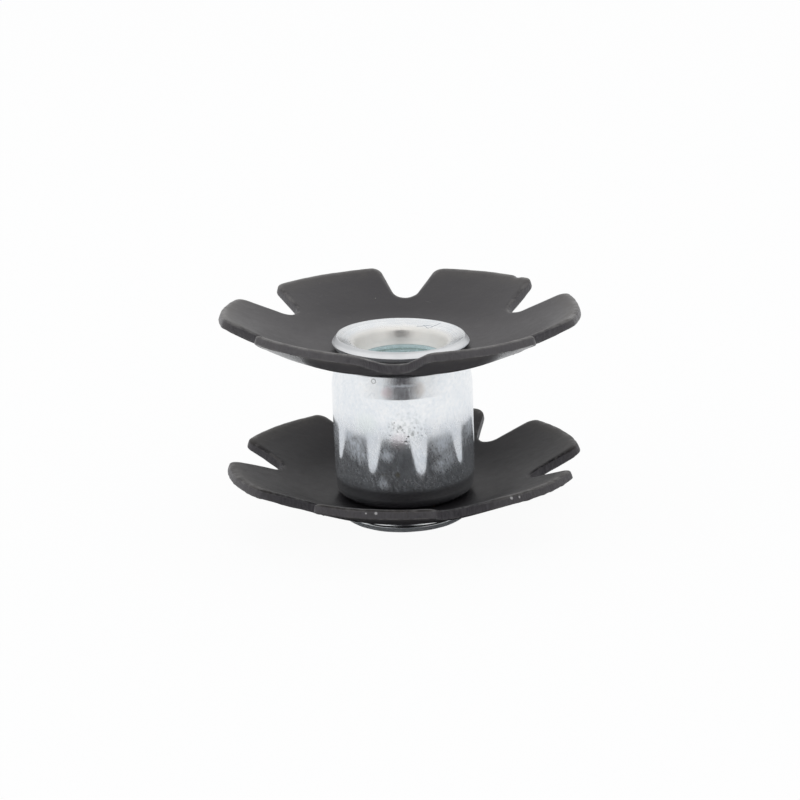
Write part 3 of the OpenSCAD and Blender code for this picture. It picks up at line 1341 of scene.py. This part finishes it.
@dataclass
class ThreadedBarrel:
    """The turned barrel with its two swaged flares and its tapped bore.

    Lengths are in millimetres and angles in degrees.
    """

    name: str = "swaged_barrel"
    thread_name: str = "bore_thread"
    barrel_r: float = 5.05
    neck_r: float = 4.0
    body_z: float = 1.7
    lean_z: float = 9.95
    lean: float = 9.0
    body_top: float = 11.7
    top_shoulder_r: float = 0.25
    bottom_shoulder_r: float = 0.85
    low_lean_z: float = 3.6
    lower_hub_z: float = 1.0
    top_seat_z: float = 12.4
    rim_top: float = 13.36
    rim_top_t: float = 0.43
    rim_lean_x: float = -0.022
    rim_lean_y: float = 0.010
    top_rim_r: float = 4.91
    bottom_rim_r: float = 4.5
    rim_t: float = 0.4
    rim_w: float = 0.35
    top_rim_w: float = 0.33
    rim_edge_r: float = 0.13
    seat_w: float = 0.25
    flare_slope: float = 20.0
    low_flare_slope: float = 15.0
    throat_r: float = 2.75
    throat_round_r: float = 0.95
    top_throat_round_r: float = 0.55
    land_top_r: float = 3.36
    land_r: float = 3.02
    land_z: float = 12.09
    top_throat_r: float = 2.90
    chamfer_z: float = 11.86
    throat_end_z: float = 11.62
    root_r: float = 3.0
    crest_r: float = 2.5
    pitch: float = 1.0
    thread_turns: float = 10.45
    thread_start: float = 1.10
    thread_sink: float = 0.02
    ridge_foot: float = 0.84
    ridge_crest: float = 0.26
    around: int = 288

    def section(self) -> list[Corner]:
        """Corners of the turned section, anticlockwise from the bottom lip.

        Returns:
            The corners, in order.
        """
        fall = math.tan(math.radians(self.flare_slope))
        low_fall = math.tan(math.radians(self.low_flare_slope))
        top_mouth = self.top_rim_r - self.top_rim_w
        low_mouth = self.bottom_rim_r - self.rim_w
        shoulder_r = self.barrel_r - (self.body_top - self.lean_z) * math.tan(
            math.radians(self.lean))
        seat_r = self.neck_r + self.seat_w
        return [
            Corner(low_mouth, 0.0, 0.07),
            Corner(self.bottom_rim_r - 0.03, 0.0, self.rim_edge_r),
            Corner(self.bottom_rim_r, self.rim_t - 0.04, 0.08),
            Corner(self.bottom_rim_r - 0.06, self.rim_t + 0.08, 0.04),
            Corner(seat_r, self.lower_hub_z, 0.03),
            Corner(self.neck_r, self.lower_hub_z),
            Corner(self.neck_r, self.body_z),
            Corner(self.barrel_r - 0.10, self.body_z, self.bottom_shoulder_r),
            Corner(self.barrel_r, self.low_lean_z, 2.0),
            Corner(self.barrel_r, self.lean_z, 0.9),
            Corner(shoulder_r, self.body_top, self.top_shoulder_r),
            Corner(self.neck_r, self.body_top),
            Corner(self.neck_r, self.top_seat_z),
            Corner(seat_r, self.top_seat_z, 0.03),
            Corner(self.top_rim_r - 0.45, self.top_seat_z + 0.05, 0.04),
            Corner(self.top_rim_r - 0.20, self.rim_top - 0.74, 0.05),
            Corner(self.top_rim_r, self.rim_top - self.rim_top_t, 0.03),
            Corner(top_mouth, self.rim_top, 0.05),
            Corner(self.land_top_r, self.rim_top - (top_mouth - self.land_top_r) * fall,
                   self.top_throat_round_r),
            Corner(self.land_r, self.land_z, 0.05),
            Corner(self.top_throat_r, self.chamfer_z, 0.04),
            Corner(self.top_throat_r, self.throat_end_z, 0.02),
            Corner(self.root_r, self.throat_end_z - 0.18),
            Corner(self.root_r, 1.30),
            Corner(self.throat_r, 1.14, 0.04),
            Corner(self.throat_r, (low_mouth - self.throat_r) * low_fall, self.throat_round_r),
        ]

    @staticmethod
    def rounded(corners: list[Corner], steps: int = 8) -> np.ndarray:
        """Rounds the corners of a closed section.

        Args:
            corners: The section's corners.
            steps: How many straight steps each round has.

        Returns:
            A row of radius and height for each point. Straight parts get a
            point close to each end, so that their shading stays flat.
        """
        spots = [np.array([c.r, c.z]) for c in corners]
        points: list[np.ndarray] = []
        for i, corner in enumerate(corners):
            here, before, after = spots[i], spots[i - 1], spots[(i + 1) % len(spots)]
            back = (before - here) / np.linalg.norm(before - here)
            ahead = (after - here) / np.linalg.norm(after - here)
            if not corner.round:
                points += [here + 0.03 * back, here, here + 0.03 * ahead]
                continue
            opening = math.acos(float(np.clip(back @ ahead, -1.0, 1.0)))
            cut = corner.round / math.tan(opening / 2)
            split = (back + ahead) / np.linalg.norm(back + ahead)
            centre = here + split * corner.round / math.sin(opening / 2)
            first, last = here + back * cut - centre, here + ahead * cut - centre
            start = math.atan2(first[1], first[0])
            sweep = math.atan2(last[1], last[0]) - start
            sweep = (sweep + math.pi) % (2.0 * math.pi) - math.pi
            edge = min(0.04, corner.round * 0.5)
            points.append(here + back * (cut + edge))
            for share in np.linspace(0.0, 1.0, steps + 1):
                turn = start + sweep * share
                points.append(centre + corner.round * np.array([math.cos(turn), math.sin(turn)]))
            points.append(here + ahead * (cut + edge))
        return np.array(points)

    def wobble(self, angles: np.ndarray, z: float) -> np.ndarray:
        """Uneven swell of the hammered rims and of the body, for each angle.

        Args:
            angles: Angles about the axis, in radians.
            z: Height above the bottom rim, in millimetres.

        Returns:
            The swell at each angle, in millimetres.
        """
        rim = min(1.0, max(0.0, z - self.top_seat_z)) + min(1.0, max(0.0, 1.0 - z))
        body = 0.0025 * (np.sin(9.0 * angles + 0.35 * z) + np.sin(16.0 * angles + 1.3))
        lobes = (np.sin(3.0 * angles + 0.6) + 0.7 * np.sin(7.0 * angles + 2.1)
                 + 0.5 * np.sin(17.0 * angles + 4.0))
        return body + 0.014 * rim * lobes

    def build(self, material: bpy.types.Material) -> bpy.types.Object:
        """Turns the barrel.

        Args:
            material: The barrel's finish.

        Returns:
            The finished piece.
        """
        section = self.rounded(self.section())
        angles = np.linspace(0.0, 2.0 * math.pi, self.around, endpoint=False)
        rings = []
        for r, z in section:
            swell = self.wobble(angles, z) if r > self.throat_r + 0.1 else 0.0
            x, y = (r + swell) * np.cos(angles), (r + swell) * np.sin(angles)
            askew = min(1.0, max(0.0, (z - self.top_seat_z - 0.1) / 0.5))
            lean = askew * (self.rim_lean_x * x + self.rim_lean_y * y)
            rings.append(np.stack([x, y, z + lean], axis=1))
        piece = new_piece(self.name, np.vstack(rings) * MM,
                          looped_faces(len(section), self.around))
        piece.data.materials.append(material)
        return piece

    def build_thread(self, winder: PressTree, material: bpy.types.Material) -> bpy.types.Object:
        """Winds the thread's ridge inside the bore.

        Args:
            winder: The tree that winds the ridge.
            material: The barrel's finish.

        Returns:
            The finished piece.
        """
        mesh = bpy.data.meshes.new(self.thread_name)
        piece = bpy.data.objects.new(self.thread_name, mesh)
        bpy.context.scene.collection.objects.link(piece)
        return winder.shape(piece, {
            "Material": material,
            "Root Radius": (self.root_r + self.thread_sink) * MM,
            "Pitch": self.pitch * MM,
            "Turns": self.thread_turns,
            "Start Height": self.thread_start * MM,
            "Ridge Height": (self.root_r - self.crest_r + self.thread_sink) * MM,
            "Root Width": self.ridge_foot * self.pitch * MM,
            "Crest Width": self.ridge_crest * self.pitch * MM,
            "Runout Turns": 0.4,
            "Steps Per Turn": 96,
        })


# ----------------------------------------------------------------------- studio


@dataclass
class SoftBox:
    """A square lamp that faces a place. Lengths are in metres."""

    name: str
    place: Place
    aim: Place
    width: float
    height: float
    radiance: float

    def build(self) -> bpy.types.Object:
        """Makes the lamp, with the power that gives its face its radiance.

        Returns:
            The lamp's object.
        """
        lamp = bpy.data.lights.new(self.name, "AREA")
        lamp.shape = "RECTANGLE"
        lamp.size = self.width
        lamp.size_y = self.height
        lamp.energy = self.radiance * math.pi * self.width * self.height
        holder = bpy.data.objects.new(self.name, lamp)
        bpy.context.scene.collection.objects.link(holder)
        away = Vector(self.place) - Vector(self.aim)
        turn = away.to_track_quat("Z", "Y").to_matrix().to_4x4()
        holder.matrix_world = Matrix.Translation(self.place) @ turn
        holder.visible_camera = False
        holder.visible_glossy = False
        return holder


@dataclass
class Studio:
    """Pale floor, even surroundings, soft lamps and a dark card at the front."""

    floor_half: float = 3.0
    floor_colour: Colour = (0.90, 0.90, 0.905)
    floor_glow: float = 0.95
    mirrored_glow: float = 0.75
    glow_start: float = 0.016
    glow_full: float = 0.034
    world_colour: Colour = (0.93, 0.96, 1.0)
    world_strength: float = 0.58
    mirrored_horizon: float = 0.74
    card_colour: Colour = (0.075, 0.068, 0.072)
    card_width: float = 0.34
    card_core: float = 0.04
    card_low: float = 0.0
    card_high: float = 0.28
    card_y: float = -0.24

    def build(self) -> None:
        """Builds the floor, the card, the lamps and the world."""
        self.build_floor()
        self.build_card()
        self.build_world()
        for box in self.lamps():
            box.build()

    @staticmethod
    def lamps() -> list[SoftBox]:
        """The studio's lamps."""
        middle = (0.0, 0.0, 0.008)
        return [
            SoftBox("overhead_softbox", (0.0, 0.10, 0.75), middle, 0.9, 0.9, 0.70),
            SoftBox("left_softbox", (-0.60, -0.20, 0.30), middle, 0.6, 0.6, 0.90),
            SoftBox("right_softbox", (0.60, -0.20, 0.30), middle, 0.6, 0.6, 0.45),
        ]

    @staticmethod
    def plane(name: str, corners: list[Place]) -> bpy.types.Object:
        """Makes a flat four-cornered sheet that is part of the stage.

        Args:
            name: Name of the sheet.
            corners: Its four corners, in order round it, in metres.

        Returns:
            The sheet.
        """
        mesh = bpy.data.meshes.new(name)
        mesh.from_pydata(corners, [], [(0, 1, 2, 3)])
        sheet = bpy.data.objects.new(name, mesh)
        bpy.context.scene.collection.objects.link(sheet)
        return sheet

    @staticmethod
    def seen_directly(b: NodeBench) -> Socket:
        """1 for rays from the camera and for reflections and glass."""
        path = b.node("ShaderNodeLightPath")
        return b.most(*(path.outputs[f"Is {kind} Ray"]
                        for kind in ("Camera", "Glossy", "Transmission")))

    def build_floor(self) -> None:
        """Lays a pale floor that shows nearly white and keeps a soft shadow."""
        far = self.floor_half
        floor = self.plane("studio_floor", [(-far, -far, 0.0), (far, -far, 0.0), (far, far, 0.0),
                                            (-far, far, 0.0)])
        b = FinishBench("pale_floor")
        b.feed(Base_Color=(*self.floor_colour, 1.0), Roughness=0.9, Specular_IOR_Level=0.0)
        glow = b.wire(b.node("ShaderNodeEmission"), Strength=1.0)
        # Reflections see the floor glow only away from the nut; near it they see the plainly lit
        # floor, so round the nut the floor looks darker in reflections: painted shade.
        glow_past_shade = b.remap(b.off_axis(b.place), self.glow_start / MM, self.glow_full / MM,
                             smooth=True)
        path = b.node("ShaderNodeLightPath")
        mirrored = b.most(path.outputs["Is Glossy Ray"], path.outputs["Is Transmission Ray"])
        mirrored = b.times(mirrored, glow_past_shade, self.mirrored_glow)
        direct = b.times(path.outputs["Is Camera Ray"], self.floor_glow)
        b.end_in_mix("Material Output", b.most(direct, mirrored), b.shader.outputs[0],
                     glow.outputs[0])
        floor.data.materials.append(b.material)

    def build_card(self) -> None:
        """Hangs a dark card at the front that only reflections see."""
        half = self.card_width / 2
        card = self.plane("front_card", [
            (-half, self.card_y, self.card_low), (half, self.card_y, self.card_low),
            (half, self.card_y, self.card_high), (-half, self.card_y, self.card_high)])
        b = FinishBench("dark_card")
        b.feed(Base_Color=(*self.card_colour, 1.0), Roughness=0.9, Specular_IOR_Level=0.0)
        clear = b.node("ShaderNodeBsdfTransparent")
        solid = b.remap(b.off_middle(b.place), half / MM, self.card_core / 2 / MM, smooth=True)
        mirrored = b.node("ShaderNodeLightPath").outputs["Is Glossy Ray"]
        b.end_in_mix("Material Output", b.times(mirrored, solid), clear.outputs[0],
                     b.shader.outputs[0])
        card.data.materials.append(b.material)

    def build_world(self) -> None:
        """Lights the surroundings evenly and shows them white."""
        world = bpy.data.worlds.new("pale_room")
        world.use_nodes = True
        bpy.context.scene.world = world
        b = NodeBench(world.node_tree)
        room = b.wire(world.node_tree.nodes["Background"], Color=(*self.world_colour, 1.0),
                      Strength=self.world_strength)
        rise = b.split(b.node("ShaderNodeTexCoord").outputs["Generated"])[2]
        sky = b.remap(rise, 0.15, 0.7, self.mirrored_horizon, 1.0, smooth=True)
        sky = b.most(sky, b.node("ShaderNodeLightPath").outputs["Is Camera Ray"])
        white = b.wire(b.node("ShaderNodeBackground"), Color=b.combine(sky, sky, sky))
        b.end_in_mix("World Output", self.seen_directly(b), room.outputs[0], white.outputs[0])


@dataclass
class ViewPoint:
    """The camera: where it aims, and how far and how high it stands.

    Lengths are in millimetres, angles in degrees, and the shifts are shares
    of the picture's width.
    """

    aim_z: float = 7.847
    distance: float = 148.96
    height_angle: float = 16.977
    tilt: float = -1.971
    lens: float = 93.22
    shift_x: float = -0.00376
    shift_y: float = 0.01066

    def build(self) -> bpy.types.Object:
        """Makes the camera and gives it to the scene.

        Returns:
            The camera's object.
        """
        lens = bpy.data.cameras.new("view_camera")
        lens.sensor_width = 36.0
        lens.lens = self.lens
        lens.shift_x = self.shift_x
        lens.shift_y = self.shift_y
        lens.clip_start = 0.01
        camera = bpy.data.objects.new("view_camera", lens)
        bpy.context.scene.collection.objects.link(camera)
        high, roll = math.radians(self.height_angle), math.radians(self.tilt)
        ahead = Vector((0.0, math.cos(high), -math.sin(high)))
        level, above = Vector((1.0, 0.0, 0.0)), Vector((0.0, math.sin(high), math.cos(high)))
        right = math.cos(roll) * level + math.sin(roll) * above
        up = math.cos(roll) * above - math.sin(roll) * level
        turn = Matrix((right, up, -ahead)).transposed().to_4x4()
        place = Vector((0.0, 0.0, self.aim_z * MM)) - ahead * (self.distance * MM)
        camera.matrix_world = Matrix.Translation(place) @ turn
        bpy.context.scene.camera = camera
        return camera


# ------------------------------------------------------------------------- main


@dataclass
class StarNut:
    """The whole nut: a barrel with a star washer held by each of its flares."""

    barrel: ThreadedBarrel
    upper: StarWasher
    lower: StarWasher

    def build(self) -> None:
        """Builds, dresses and hands over every piece."""
        shelf = GroupShelf()
        press, winder = build_dish_tree(), build_thread_tree()
        zinc = ZincPlate().build("zinc_plate_finish", shelf)
        upper_steel = BlackSpringSteel(
            chips=((-7.42, -8.65, 14.85, 0.16), (-8.4, -9.0, 15.0, 0.12)))
        # The lower star's darker coat and faded coat, and its weaker shine, are painted shade
        # from the upper star above it. Its tip share paints light on the tips, which reach out
        # past the upper star, and its glints are painted highlights.
        shaded_lower_steel = BlackSpringSteel(
            coat=(0.0125, 0.0112, 0.0132), pale_and_lit_coat=(0.0250, 0.0225, 0.0245), shine=0.16,
            edge_wear=0.6, painted_tip_light=0.40, chips=((1.96, -3.92, 1.73, 0.12),),
            glints=((7.12, -10.47, 4.46, 0.14), (7.65, -10.09, 4.38, 0.11),
                    (-3.61, -12.13, 4.21, 0.10), (-2.71, -12.37, 4.40, 0.09),
                    (-2.04, -12.49, 4.43, 0.12), (-1.74, -12.54, 3.89, 0.09),
                    (1.87, -12.52, 4.77, 0.11)))
        upper_steel = upper_steel.build("upper_steel_finish", shelf)
        shaded_lower_steel = shaded_lower_steel.build("lower_steel_finish", shelf)
        hand_over(self.barrel.build(zinc), Slot.ZINC, "threaded_barrel")
        hand_over(self.barrel.build_thread(winder, zinc), Slot.ZINC)
        hand_over(self.upper.build(press, upper_steel), Slot.STEEL, "upper_star_washer")
        hand_over(self.lower.build(press, shaded_lower_steel), Slot.STEEL, "lower_star_washer")


def make_star_nut() -> StarNut:
    """Gives the nut its sizes.

    Returns:
        The nut, ready to be built.
    """
    upper = StarWasher(
        name="upper_star", hub_z=12.07, turn=-2.826, lean_about_x=0.146, lean_about_y=0.688,
        petals=(Petal(0.110, -0.030), Petal(0.045, -0.055, 0.3), Petal(-0.045, -0.131, 0.9, -0.3),
                Petal(0.090, 0.230), Petal(0.215, -0.215, -0.3), Petal(0.150, 0.030)),
        nicks=(Nick(44.2, 0.16, 0.28),),
        dents=(Dent(267.2, 6.6, 0.17, 2.4), Dent(267.2, 9.7, -0.13, 1.2)), seed=3)
    lower = StarWasher(
        name="lower_star", hub_z=1.34, turn=19.296, lean_about_x=-0.455, lean_about_y=0.449,
        petals=(Petal(0.030, -0.095), Petal(-0.080, 0.106), Petal(-0.190, -0.045),
                Petal(-0.150, 0.140), Petal(-0.069, -0.069), Petal(-0.040, -0.060)),
        seed=8)
    return StarNut(ThreadedBarrel(), upper, lower)


def main() -> None:
    """Builds the nut and its studio."""
    logging.basicConfig(level=logging.INFO, format="%(name)s: %(message)s")
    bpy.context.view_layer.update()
    bpy.context.scene.view_settings.view_transform = "Standard"
    make_star_nut().build()
    Studio().build()
    camera = ViewPoint().build()
    log.info("camera at %s", tuple(round(v, 5) for v in camera.location))


if __name__ == "__main__":
    main()
